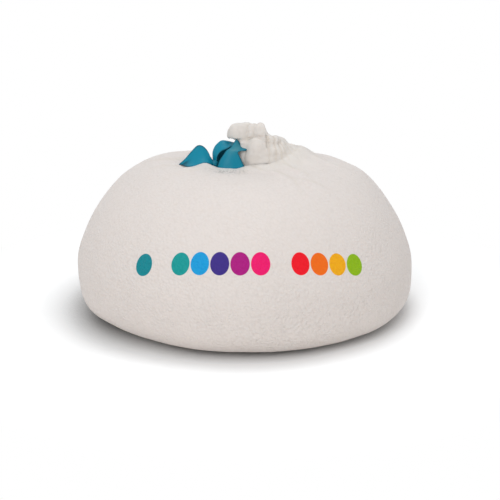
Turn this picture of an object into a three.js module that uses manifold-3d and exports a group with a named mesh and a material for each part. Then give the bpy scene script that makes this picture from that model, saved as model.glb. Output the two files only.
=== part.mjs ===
// A soft film bag of polystyrene beads that stands on the floor. Its mouth is gathered into
// a frilled hem, and the tape drawn out of the hem is knotted beside it into a fin-shaped loop
// on the left and an arched loop on the right.
// Millimetres, +Z up, the front of the bag towards -Y. The origin is on the floor, below the
// middle of the widest level.
import * as THREE from 'three';
import { mergeVertices } from 'three/addons/utils/BufferGeometryUtils.js';
import Module from 'manifold-3d';

const wasm = await Module();
wasm.setup();

// Bag body
const BAG_RADIUS = 294; // widest level, round in plan
const WIDEST_HEIGHT = 96; // height of the widest level
const CROWN_RISE = 175; // from the widest level up to the crown, before the dish
const BASE_RADIUS = 223; // flat that the beads press on the floor
const BASE_SHIFT_X = 12; // the flat lies this far right of the middle
const BASE_SHIFT_Y = 12; // and this far behind it
const CROWN_SQUARENESS = 4.1; // exponents of the crown's curve: high values are square
const CROWN_FULLNESS = 1.2;
const SIDE_SQUARENESS = 5.2; // exponents of the curve from the flat up to the widest level
const SIDE_FULLNESS = 1.73;

// Slack film over the beads
const DISH_DEPTH = 24; // hollow round the mouth
const DISH_RADIUS = 105;
const BACK_SLOPE_DROP = 24; // the back of the crown lies this much lower than the front
const BACK_SLOPE_NARROWNESS = 4; // exponent: high values keep the slope near straight back
const CREASE_DEPTH = 10; // crease that runs back from the knot
const CREASE_HALF_WIDTH = 24;
const CREASE_START = -20; // it starts here, measured along Y
const CREASE_START_RUN = 60; // and reaches its depth over this length
const CREASE_END = 215; // it has run out here
const CREASE_END_RUN = 90; // after it gets shallower over this length

// Gathered mouth
const MOUTH_X = 32; // middle of the gathered hem
const MOUTH_Y = 0;
const MOUTH_HALF_WIDTH = 70;
const MOUTH_HALF_DEPTH = 38;
const MOUTH_DEPTH_TAPER = 12; // deeper on the right, shallower on the left
const TALL_LOBE_RISE = 52; // left lobe of the hem above the crown
const LOW_LOBE_RISE = 20; // right lobe of the hem above the crown
const LOBE_STEP_X = 35; // place of the step between the lobes
const LOBE_STEP_WIDTH = 9;
const HEM_NECK_SHARE = 0.84; // waist of the gather as a share of the hem's outline
const HEM_SCALLOPS = 9;
const HEM_SCALLOP_DEPTH = 0.05; // share of the outline

// Drawn tape
const TAPE_THICKNESS = 1;
const KNOT_X = -50; // knot's place
const KNOT_Y = -23;
const KNOT_RISE = 5; // its middle above the film
const KNOT_RADIUS = 8;
const KNOT_SCALE = [0.8, 1, 0.75]; // the knot is narrower and flatter than a ball
const TAPE_CLEARANCE = 0.4; // between the tape and the film that it lies on

// Fineness of the grids
const COLUMNS = 60;
const BASE_ROWS = 2;
const SIDE_ROWS = 13;
const CROWN_ROWS = 19;
const HEM_ROWS = 7;
const LID_ROWS = 5;
const STRIP_STEPS = 14;
const STRIP_CROSS_STEPS = 3;
const STRIP_TANGENT_REACH = 0.01; // share of the strip's length
const KNOT_SIDES = 14;
const KNOT_RINGS = 9;

const FILM_COLOUR = 0xe5dfdb;
const FILM_ROUGHNESS = 0.55;
const TAPE_COLOUR = 0x21899f;
const TAPE_ROUGHNESS = 0.4;

const smoothStep = (low, high, value) => THREE.MathUtils.smoothstep(value, low, high);
const bell = (distance, width) => Math.exp(-((distance / width) ** 2));

// Height of the beads' crown under a point, with the dish, the sloped back and the crease.
function crownHeight(x, y) {
  const reach = Math.hypot(x, y);
  const share = Math.min(reach / BAG_RADIUS, 1);
  const curve = (1 - share ** CROWN_SQUARENESS) ** (1 / CROWN_FULLNESS);
  const backward = reach > 0 ? Math.max(0, y / reach) ** BACK_SLOPE_NARROWNESS : 0;
  const slope = BACK_SLOPE_DROP * 4 * share * (1 - share) * backward;
  const dish = DISH_DEPTH * bell(Math.hypot(x - MOUTH_X / 2, y - MOUTH_Y), DISH_RADIUS);
  const creaseReach = smoothStep(CREASE_START, CREASE_START + CREASE_START_RUN, y)
    * (1 - smoothStep(CREASE_END - CREASE_END_RUN, CREASE_END, y));
  const crease = CREASE_DEPTH * bell(x - KNOT_X, CREASE_HALF_WIDTH) * creaseReach;
  return WIDEST_HEIGHT + CROWN_RISE * curve - slope - dish - crease;
}

// Top of the gathered hem: a tall lobe on the left that steps down to a low one on the right.
function hemTop(x) {
  const crown = WIDEST_HEIGHT + CROWN_RISE;
  const low = smoothStep(LOBE_STEP_X - LOBE_STEP_WIDTH, LOBE_STEP_X + LOBE_STEP_WIDTH, x);
  return crown + THREE.MathUtils.lerp(TALL_LOBE_RISE, LOW_LOBE_RISE, low);
}

// Plan outline of the gathered hem, from its middle, at a size that is a share of the whole.
function hemOutline(angle, size) {
  const scallop = 1 + HEM_SCALLOP_DEPTH * Math.cos(HEM_SCALLOPS * angle);
  const halfDepth = MOUTH_HALF_DEPTH + MOUTH_DEPTH_TAPER * Math.cos(angle);
  return {
    x: MOUTH_X + MOUTH_HALF_WIDTH * scallop * size * Math.cos(angle),
    y: MOUTH_Y + halfDepth * scallop * size * Math.sin(angle),
  };
}

// Rows of the bag's skin, from the middle of the flat base up to the middle of the mouth.
function bagRows() {
  const rows = [];
  const ring = (place) => {
    const points = [];
    for (let column = 0; column < COLUMNS; column += 1) {
      points.push(place((2 * Math.PI * column) / COLUMNS));
    }
    rows.push(points);
  };
  for (let row = 1; row < BASE_ROWS; row += 1) {
    const radius = (BASE_RADIUS * row) / BASE_ROWS;
    ring((angle) => [
      BASE_SHIFT_X + radius * Math.cos(angle), BASE_SHIFT_Y + radius * Math.sin(angle), 0,
    ]);
  }
  for (let row = 0; row < SIDE_ROWS; row += 1) {
    const rise = 1 - Math.cos((Math.PI / 2) * (row / SIDE_ROWS));
    const swell = (1 - (1 - rise) ** SIDE_SQUARENESS) ** (1 / SIDE_FULLNESS);
    const radius = BASE_RADIUS + (BAG_RADIUS - BASE_RADIUS) * swell;
    const shift = (1 - rise) ** 2;
    ring((angle) => [
      BASE_SHIFT_X * shift + radius * Math.cos(angle),
      BASE_SHIFT_Y * shift + radius * Math.sin(angle),
      WIDEST_HEIGHT * rise,
    ]);
  }
  for (let row = 0; row < CROWN_ROWS; row += 1) {
    const share = Math.cos((Math.PI / 2) * (row / CROWN_ROWS));
    ring((angle) => {
      const neck = hemOutline(angle, HEM_NECK_SHARE);
      const x = THREE.MathUtils.lerp(neck.x, BAG_RADIUS * Math.cos(angle), share);
      const y = THREE.MathUtils.lerp(neck.y, BAG_RADIUS * Math.sin(angle), share);
      return [x, y, crownHeight(x, y)];
    });
  }
  for (let row = 0; row <= HEM_ROWS; row += 1) {
    const turn = Math.PI * (row / HEM_ROWS);
    const size = 1 - (1 - HEM_NECK_SHARE) * Math.cos(turn) ** 2;
    const rise = (1 - Math.cos(turn)) / 2;
    ring((angle) => {
      const point = hemOutline(angle, size);
      const foot = crownHeight(point.x, point.y);
      return [point.x, point.y, THREE.MathUtils.lerp(foot, hemTop(point.x), rise)];
    });
  }
  for (let row = 1; row < LID_ROWS; row += 1) {
    const size = HEM_NECK_SHARE * (1 - row / LID_ROWS);
    ring((angle) => {
      const point = hemOutline(angle, size);
      return [point.x, point.y, hemTop(point.x)];
    });
  }
  return rows;
}

// A closed skin through rings of points, with a middle point at each end.
function closedSkin(rows, first, last) {
  const positions = [...first];
  rows.forEach((row) => row.forEach((point) => positions.push(...point)));
  positions.push(...last);
  const at = (row, column) => 1 + row * COLUMNS + (column % COLUMNS);
  const end = 1 + rows.length * COLUMNS;
  const faces = [];
  for (let column = 0; column < COLUMNS; column += 1) {
    faces.push(0, at(0, column + 1), at(0, column));
    faces.push(end, at(rows.length - 1, column), at(rows.length - 1, column + 1));
    for (let row = 0; row + 1 < rows.length; row += 1) {
      const corner = [at(row, column), at(row, column + 1)];
      const above = [at(row + 1, column), at(row + 1, column + 1)];
      faces.push(corner[0], corner[1], above[1], corner[0], above[1], above[0]);
    }
  }
  const geometry = new THREE.BufferGeometry();
  geometry.setAttribute('position', new THREE.Float32BufferAttribute(positions, 3));
  geometry.setIndex(faces);
  return geometry;
}

// The same skin moved outwards by a distance, along the normals of its points.
function grown(geometry, distance) {
  const copy = geometry.clone();
  copy.computeVertexNormals();
  const place = copy.getAttribute('position');
  const normal = copy.getAttribute('normal');
  for (let index = 0; index < place.count; index += 1) {
    place.setXYZ(
      index,
      place.getX(index) + distance * normal.getX(index),
      place.getY(index) + distance * normal.getY(index),
      place.getZ(index) + distance * normal.getZ(index),
    );
  }
  return copy;
}

// A strip of tape between two edges, each a smooth curve through its own points.
function strip(edgeA, edgeB) {
  const curveA = new THREE.CatmullRomCurve3(edgeA);
  const curveB = new THREE.CatmullRomCurve3(edgeB);
  const middle = (along, across) => curveA.getPoint(along).lerp(curveB.getPoint(along), across);
  const side = (along, across, offset) => {
    const before = middle(Math.max(along - STRIP_TANGENT_REACH, 0), across);
    const tangent = middle(Math.min(along + STRIP_TANGENT_REACH, 1), across).sub(before);
    const width = curveB.getPoint(along).sub(curveA.getPoint(along));
    const normal = tangent.cross(width).normalize();
    return middle(along, across).addScaledVector(normal, offset);
  };
  const positions = [];
  for (const offset of [-TAPE_THICKNESS / 2, TAPE_THICKNESS / 2]) {
    for (let step = 0; step <= STRIP_STEPS; step += 1) {
      for (let cross = 0; cross <= STRIP_CROSS_STEPS; cross += 1) {
        const point = side(step / STRIP_STEPS, cross / STRIP_CROSS_STEPS, offset);
        positions.push(point.x, point.y, point.z);
      }
    }
  }
  const line = STRIP_CROSS_STEPS + 1;
  const layer = line * (STRIP_STEPS + 1);
  const faces = [];
  const quad = (a, b, c, d) => faces.push(a, b, c, a, c, d);
  for (let step = 0; step < STRIP_STEPS; step += 1) {
    for (let cross = 0; cross < STRIP_CROSS_STEPS; cross += 1) {
      const low = step * line + cross;
      quad(low, low + 1, low + line + 1, low + line);
      quad(layer + low, layer + low + line, layer + low + line + 1, layer + low + 1);
    }
    const near = step * line;
    const far = near + STRIP_CROSS_STEPS;
    quad(near, near + line, layer + near + line, layer + near);
    quad(far, layer + far, layer + far + line, far + line);
  }
  for (let cross = 0; cross < STRIP_CROSS_STEPS; cross += 1) {
    const end = STRIP_STEPS * line + cross;
    quad(cross, layer + cross, layer + cross + 1, cross + 1);
    quad(end, end + 1, layer + end + 1, layer + end);
  }
  const geometry = new THREE.BufferGeometry();
  geometry.setAttribute('position', new THREE.Float32BufferAttribute(positions, 3));
  geometry.setIndex(faces);
  return geometry;
}

// Conversions between drawn geometry and solids that can be joined and cut.
function toSolid(geometry) {
  const bare = geometry.clone();
  bare.deleteAttribute('normal');
  bare.deleteAttribute('uv');
  const merged = mergeVertices(bare);
  return new wasm.Manifold(new wasm.Mesh({
    numProp: 3,
    vertProperties: new Float32Array(merged.getAttribute('position').array),
    triVerts: new Uint32Array(merged.getIndex().array),
  }));
}

function toGeometry(solid) {
  const mesh = solid.getMesh();
  const geometry = new THREE.BufferGeometry();
  geometry.setAttribute('position', new THREE.BufferAttribute(mesh.vertProperties, 3));
  geometry.setIndex(new THREE.BufferAttribute(mesh.triVerts, 1));
  return geometry;
}

const largestPiece = (solid) => solid.decompose()
  .reduce((best, piece) => (piece.volume() > best.volume() ? piece : best));

// A point of the tape, given from the knot along X and Y and above the film at the knot.
const knotFloor = crownHeight(KNOT_X, KNOT_Y);
const fromKnot = (x, y, z) => new THREE.Vector3(KNOT_X + x, KNOT_Y + y, knotFloor + z);

// Fin-shaped loop: a front layer and a back layer that share the folded top edge.
function finLoop() {
  const top = [
    fromKnot(3, 2, 7), fromKnot(-8, 4, 12), fromKnot(-15, 8, 22), fromKnot(-21, 11, 31),
    fromKnot(-27, 12, 34), fromKnot(-36, 8, 25), fromKnot(-47, 2, 13), fromKnot(-58, -5, 2),
  ];
  const frontFoot = [
    fromKnot(1, -2, -1), fromKnot(-10, 0, 3), fromKnot(-20, 0, 3), fromKnot(-28, -1, -1),
    fromKnot(-36, -3, -2), fromKnot(-45, -4, -2), fromKnot(-52, -5, -1.5), fromKnot(-57, -6, -1),
  ];
  const backFoot = [
    fromKnot(1, 5, 0), fromKnot(-10, 13, 0), fromKnot(-19, 17, 0), fromKnot(-27, 17, -1),
    fromKnot(-35, 13, -1), fromKnot(-43, 7, -1), fromKnot(-51, 1, -1), fromKnot(-57, -3, -1),
  ];
  return [strip(top, frontFoot), strip(top, backFoot)];
}

// Flap in front of the hem, from the film up to where the tape goes into the gather.
function frontFlap() {
  const left = [
    fromKnot(-1, -4, 0), fromKnot(11, -6, 13), fromKnot(19, -2, 26), fromKnot(30, 2, 37),
    fromKnot(36, 7, 42), fromKnot(45, 22, 42),
  ];
  const right = [
    fromKnot(49, -13, -1), fromKnot(44, -9, 11), fromKnot(39, -5, 23), fromKnot(45, 0, 27),
    fromKnot(51, 6, 28), fromKnot(58, 20, 29),
  ];
  return strip(left, right);
}

// Band that arches from the knot, behind the flap, back into the gather.
function archedBand() {
  const front = [
    fromKnot(0, -2, 2), fromKnot(4, -1, 12), fromKnot(11, 0, 20), fromKnot(20, 2, 27),
    fromKnot(30, 6, 30), fromKnot(42, 14, 31), fromKnot(54, 22, 31),
  ];
  const back = [
    fromKnot(-3, 12, 1), fromKnot(-4, 27, 9), fromKnot(1, 33, 24), fromKnot(12, 35, 36),
    fromKnot(26, 32, 36), fromKnot(38, 29, 34), fromKnot(50, 27, 33),
  ];
  return strip(front, back);
}

function knotLump() {
  const lump = new THREE.SphereGeometry(KNOT_RADIUS, KNOT_SIDES, KNOT_RINGS);
  lump.scale(...KNOT_SCALE);
  const middle = fromKnot(0, 0, KNOT_RISE);
  return lump.translate(middle.x, middle.y, middle.z);
}

const material = (color, roughness) => new THREE.MeshStandardMaterial({ color, roughness });

const rows = bagRows();
const bagSkin = closedSkin(
  rows,
  [BASE_SHIFT_X, BASE_SHIFT_Y, 0],
  [MOUTH_X, MOUTH_Y, hemTop(MOUTH_X)],
);
const bag = new THREE.Mesh(bagSkin, material(FILM_COLOUR, FILM_ROUGHNESS));
bag.name = 'film_bag';

const strands = [...finLoop(), frontFlap(), archedBand()];
const joined = strands.reduce((solid, part) => solid.add(toSolid(part)), toSolid(knotLump()));
const fitted = joined.subtract(toSolid(grown(bagSkin, TAPE_CLEARANCE)));
const tapeSkin = toGeometry(largestPiece(fitted));
const tape = new THREE.Mesh(tapeSkin, material(TAPE_COLOUR, TAPE_ROUGHNESS));
tape.name = 'drawtape';

const model = new THREE.Group();
model.add(bag, tape);
export default model;
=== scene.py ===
"""A soft film bag of polystyrene beads with a gathered mouth and a knotted drawtape.

The bag is one closed film skin over loose beads, drawn as a grid of rings from the middle of
its flat base up to the pucker in its mouth. The drawtape is a set of ruled strips between
edge curves. Metres, +Z up, the front of the bag towards -Y.
"""

import logging
import math
from collections.abc import Callable
from dataclasses import dataclass, field
from enum import Enum

import bpy
import numpy as np
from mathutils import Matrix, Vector


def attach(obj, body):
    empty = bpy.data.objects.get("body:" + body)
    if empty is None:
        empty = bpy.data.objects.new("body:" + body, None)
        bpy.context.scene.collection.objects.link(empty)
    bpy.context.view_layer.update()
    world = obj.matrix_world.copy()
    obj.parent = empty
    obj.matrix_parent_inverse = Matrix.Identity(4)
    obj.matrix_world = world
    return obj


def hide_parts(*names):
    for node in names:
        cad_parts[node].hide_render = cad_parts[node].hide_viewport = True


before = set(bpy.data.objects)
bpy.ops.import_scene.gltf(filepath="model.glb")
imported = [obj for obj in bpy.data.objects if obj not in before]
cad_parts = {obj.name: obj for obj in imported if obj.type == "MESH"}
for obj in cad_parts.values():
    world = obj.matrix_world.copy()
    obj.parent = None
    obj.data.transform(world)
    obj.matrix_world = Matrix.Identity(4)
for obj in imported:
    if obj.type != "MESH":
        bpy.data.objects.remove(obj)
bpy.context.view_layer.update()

Socket = bpy.types.NodeSocket
LOG = logging.getLogger("bead_bag")
BODY = "root"
MM = 0.001
TAU = 2.0 * math.pi
TINY = 1e-12


def smooth_step(low: float, high: float, value: np.ndarray) -> np.ndarray:
    """Rise from 0 at low to 1 at high along 3 t squared less 2 t cubed.

    Args:
        low: Value where the rise starts.
        high: Value where the rise is complete.
        value: Values to map.

    Returns:
        The share risen at each value.
    """
    share = np.clip((value - low) / (high - low), 0.0, 1.0)
    return share * share * (3.0 - 2.0 * share)


def bell(distance: np.ndarray, width: float) -> np.ndarray:
    """Return the bell curve exp(-(distance / width) squared)."""
    return np.exp(-((distance / width) ** 2))


def smooth_curve(stations: np.ndarray, values: np.ndarray, at: np.ndarray) -> np.ndarray:
    """Pass a smooth curve through stations, as cubic Hermite spans with central slopes.

    Args:
        stations: Rising parameters of the stations, shape (n,).
        values: Numbers or points at the stations, shape (n,) or (n, k).
        at: Parameters to read the curve at, any shape.

    Returns:
        The curve's numbers or points, with the shape of at and then of one value.
    """
    stations = np.asarray(stations, float)
    values = np.asarray(values, float)
    flat = values.reshape(len(stations), -1)
    slopes = np.gradient(flat, stations, axis=0)
    place = np.clip(at, stations[0], stations[-1])
    span = np.clip(np.searchsorted(stations, place, side="right") - 1, 0, len(stations) - 2)
    width = stations[span + 1] - stations[span]
    t = ((place - stations[span]) / width)[..., None]
    width = width[..., None]
    start, end = flat[span], flat[span + 1]
    rise, fall = slopes[span] * width, slopes[span + 1] * width
    point = (
        start * (2 * t**3 - 3 * t**2 + 1)
        + rise * (t**3 - 2 * t**2 + t)
        + end * (3 * t**2 - 2 * t**3)
        + fall * (t**3 - t**2)
    )
    return point.reshape(np.shape(at) + values.shape[1:])


@dataclass(frozen=True)
class LatticeNoise:
    """Smooth random field: seeded values on a cubic lattice, blended between its corners."""

    seed: int
    size: int = 32
    shift: float = 0.37  # how far each seed moves the lattice, in its own spacing
    sharpness: float = 3.0

    def read(self, points: np.ndarray, wavelength: float) -> np.ndarray:
        """Blend the eight lattice values round each point with a cubic ease.

        Args:
            points: Places in metres, shape (..., 3).
            wavelength: Lattice spacing in metres.

        Returns:
            Values between -1 and 1, with the shape of the points.
        """
        values = np.random.default_rng(self.seed).uniform(-1, 1, (self.size,) * 3)
        scaled = points / wavelength + self.seed * self.shift
        cell = np.floor(scaled).astype(int)
        part = scaled - cell
        part = part * part * (3.0 - 2.0 * part)
        total = np.zeros(points.shape[:-1])
        for corner in range(8):
            step = np.array([corner & 1, corner >> 1 & 1, corner >> 2 & 1])
            index = (cell + step) % self.size
            weight = np.where(step, part, 1.0 - part).prod(axis=-1)
            total += weight * values[index[..., 0], index[..., 1], index[..., 2]]
        return total

    def creases(self, points: np.ndarray, wavelength: float) -> np.ndarray:
        """Fold the field about zero into sharp lines: 1 on a crease, falling to 0 off it."""
        return 1.0 - np.minimum(1.0, self.sharpness * np.abs(self.read(points, wavelength)))


def grid_normals(points: np.ndarray) -> np.ndarray:
    """Work out unit normals of a grid of rings as the cross product of its two tangents.

    Args:
        points: Rings of points, shape (rows, columns, 3). The columns close on themselves.

    Returns:
        Normals that point outwards for rings that run counterclockwise and rise.
    """
    along = np.roll(points, -1, axis=1) - np.roll(points, 1, axis=1)
    up = np.gradient(points, axis=0)
    normal = np.cross(along, up)
    length = np.linalg.norm(normal, axis=-1, keepdims=True)
    return normal / np.maximum(length, TINY)


def ring_quads(bands: int, columns: int) -> np.ndarray:
    """Number the corners of the quads between closed rings of vertices, ring by ring.

    Args:
        bands: Number of bands between rings.
        columns: Vertices in each ring.

    Returns:
        Corner indices, shape (bands * columns, 4), counterclockwise from outside.
    """
    column = np.arange(columns)
    following = (column + 1) % columns
    low = columns * np.arange(bands)[:, None]
    high = low + columns
    corners = [low + column, low + following, high + following, high + column]
    return np.stack(corners, axis=-1).reshape(-1, 4)


def new_object(name: str, vertices: np.ndarray, *faces: np.ndarray) -> bpy.types.Object:
    """Make a smooth-shaded mesh object at the origin.

    Args:
        name: Name of the piece.
        vertices: Points in metres, shape (n, 3).
        faces: Corner indices, one array for each set of quads or triangles.

    Returns:
        The object, linked to the scene.
    """
    mesh = bpy.data.meshes.new(name)
    mesh.from_pydata(vertices.tolist(), [], sum((group.tolist() for group in faces), []))
    mesh.shade_smooth()
    mesh.update()
    obj = bpy.data.objects.new(name, mesh)
    bpy.context.scene.collection.objects.link(obj)
    return obj


def add_attribute(obj: bpy.types.Object, name: str, values: np.ndarray) -> None:
    """Store one number for each vertex under a name that materials can read."""
    layer = obj.data.attributes.new(name, "FLOAT", "POINT")
    layer.data.foreach_set("value", np.ascontiguousarray(values, np.float32).ravel())


class Ease(Enum):
    """How a mapped number runs between its two ends."""

    EVEN = "LINEAR"
    SOFT = "SMOOTHSTEP"


class NodeGraph:
    """The nodes of a material or of the world.

    An operand is a socket to link from, or a number, vector or colour to set.
    """

    def __init__(self, owner: bpy.types.Material | bpy.types.World) -> None:
        """Start an empty graph.

        Args:
            owner: Material or world that holds the nodes.
        """
        owner.use_nodes = True
        self.tree = owner.node_tree
        self.tree.nodes.clear()

    def add(self, kind: str, operands: dict | None = None, **settings: object) -> bpy.types.Node:
        """Add a node.

        Args:
            kind: Blender's name of the type of node.
            operands: Operands of its inputs, by name or number.
            settings: Properties of the node.

        Returns:
            The node.
        """
        node = self.tree.nodes.new(kind)
        for key, value in settings.items():
            setattr(node, key, value)
        for key, operand in (operands or {}).items():
            socket = node.inputs[key]
            if isinstance(operand, Socket):
                self.tree.links.new(operand, socket)
            elif socket.type == "RGBA":
                socket.default_value = (*operand, 1.0)
            else:
                socket.default_value = operand
        return node

    def place(self) -> Socket:
        """Give the Object coordinates."""
        return self.add("ShaderNodeTexCoord").outputs["Object"]

    def axes(self, vector: Socket) -> list:
        """Split a vector into its three numbers."""
        return list(self.add("ShaderNodeSeparateXYZ", {0: vector}).outputs)

    def attribute(self, name: str) -> Socket:
        """Give the number that the mesh holds under a name."""
        return self.add("ShaderNodeAttribute", attribute_name=name).outputs["Fac"]

    def math(self, operation: str, *operands: object) -> Socket:
        """Work out one of Blender's Math operations on one or two operands."""
        return self.add("ShaderNodeMath", dict(enumerate(operands)), operation=operation).outputs[0]

    def times(self, product: object, *factors: object) -> Socket:
        """Multiply two or more operands.

        Args:
            product: First operand.
            factors: The others.

        Returns:
            Their product.
        """
        for factor in factors:
            product = self.math("MULTIPLY", product, factor)
        return product

    def mix(self, share: object, low: object, high: object) -> Socket:
        """Mix two colours: low where the share is 0, and high where it is 1."""
        return self.add("ShaderNodeMix", {0: share, 6: low, 7: high}, data_type="RGBA").outputs[2]

    def span(
        self, value: object, start: float, end: float, low: float = 0.0, high: float = 1.0,
        ease: Ease = Ease.EVEN,
    ) -> Socket:
        """Map a number from one range to another and hold it beyond both ends.

        Args:
            value: Number to map.
            start: Where the result is low.
            end: Where the result is high.
            low: Result at the start.
            high: Result at the end.
            ease: How the result runs between them.

        Returns:
            The mapped number.
        """
        ends = {"From Min": start, "From Max": end, "To Min": low, "To Max": high}
        node = self.add("ShaderNodeMapRange", {"Value": value, **ends}, interpolation_type=ease.value)
        return node.outputs[0]

    def noise(self, place: Socket, scale: float, detail: float = 2.0, pull: float = 0.0) -> Socket:
        """Lay out a cloud noise.

        Args:
            place: Vector to read it at.
            scale: Clouds in one metre.
            detail: Levels of finer clouds.
            pull: How far the clouds are drawn out of shape.

        Returns:
            The noise, between 0 and 1.
        """
        operands = {"Vector": place, "Scale": scale, "Detail": detail, "Distortion": pull}
        return self.add("ShaderNodeTexNoise", operands).outputs[0]

    def bump(
        self, height: Socket, distance: float, strength: float = 1.0,
        below: Socket | None = None,
    ) -> Socket:
        """Turn a height into a bump.

        Args:
            height: Height at each place.
            distance: Metres that a height of 1 stands for.
            strength: Share of the bump that shows.
            below: Normal of a bump under this one, if there is one.

        Returns:
            The bumped normal.
        """
        operands = {"Height": height, "Distance": distance, "Strength": strength}
        if below is not None:
            operands["Normal"] = below
        return self.add("ShaderNodeBump", operands).outputs[0]

    def background_rays(self) -> Socket:
        """Tell the rays that show the background from those that light the bag.

        Returns:
            A number that is 1 for camera, glossy and transmission rays and 0 for all others.
        """
        path = self.add("ShaderNodeLightPath")
        seen = path.outputs["Is Camera Ray"]
        for kind in ("Is Glossy Ray", "Is Transmission Ray"):
            seen = self.math("MAXIMUM", seen, path.outputs[kind])
        return seen


class Ink(Enum):
    """Colours of the printed discs, from left to right. CLEAR leaves a gap."""

    TEAL = (0.003, 0.26, 0.31)
    CLEAR = (1.0, 1.0, 1.0)
    SEA = (0.003, 0.34, 0.33)
    SKY = (0.003, 0.36, 0.74)
    INDIGO = (0.045, 0.022, 0.25)
    MAGENTA = (0.44, 0.003, 0.23)
    PINK = (0.90, 0.004, 0.17)
    RED = (0.92, 0.003, 0.018)
    ORANGE = (0.93, 0.17, 0.004)
    AMBER = (0.95, 0.45, 0.004)
    LIME = (0.29, 0.52, 0.003)


@dataclass(frozen=True)
class DiscPrint:
    """A row of plain coloured discs printed across the front of the film."""

    inks: tuple = (
        Ink.TEAL, Ink.CLEAR, Ink.SEA, Ink.SKY, Ink.INDIGO, Ink.MAGENTA, Ink.PINK, Ink.CLEAR,
        Ink.RED, Ink.ORANGE, Ink.AMBER, Ink.LIME,
    )
    radius: float = 294 * MM
    pitch: float = 34 * MM
    disc: float = 16.4 * MM
    start: float = -194 * MM
    height: float = 72 * MM
    tilt: float = 0.3
    edge: float = 0.6 * MM

    def paint(self, graph: NodeGraph, place: Socket, film: Socket) -> Socket:
        """Lay the discs over the film's colour.

        The arc length round the front picks the disc, and the distance from its middle gives
        its edge. The row bows up in the middle, so that it looks level from a little above.

        Args:
            graph: Graph of the film's material.
            place: Object coordinates.
            film: The film's colour.

        Returns:
            The colour of the printed film.
        """
        x, y, z = graph.axes(place)
        bearing = graph.math("ARCTAN2", x, graph.times(y, -1.0))
        step = graph.math(
            "DIVIDE", graph.math("SUBTRACT", graph.times(bearing, self.radius), self.start), self.pitch
        )
        across = graph.times(graph.math("SUBTRACT", graph.math("FRACT", step), 0.5), self.pitch)
        middle = graph.times(graph.math("ADD", graph.math("FLOOR", step), 0.5), self.pitch)
        turn = graph.math("DIVIDE", graph.math("ADD", middle, self.start), self.radius)
        bow = graph.times(graph.math("COSINE", turn), self.tilt * self.radius)
        up = graph.math("SUBTRACT", z, graph.math("ADD", bow, self.height))
        square = graph.math("ADD", graph.math("POWER", across, 2.0), graph.math("POWER", up, 2.0))
        inside = graph.span(graph.math("SQRT", square), self.disc, self.disc - self.edge)
        count = len(self.inks)
        ramp = graph.add("ShaderNodeValToRGB", {"Fac": graph.math("DIVIDE", step, float(count))})
        ramp.color_ramp.interpolation = "CONSTANT"
        elements = ramp.color_ramp.elements
        while len(elements) < count:
            elements.new(0.5)
        for index in range(count):
            elements[index].position = index / count
        for element, ink in zip(elements, self.inks):
            element.color = (*ink.value, 0.0 if ink is Ink.CLEAR else 1.0)
        half = 0.5 * count
        row = graph.math("LESS_THAN", graph.math("ABSOLUTE", graph.math("SUBTRACT", step, half)), half)
        mask = graph.times(inside, row, ramp.outputs["Alpha"])
        return graph.mix(mask, film, ramp.outputs["Color"])


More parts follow.
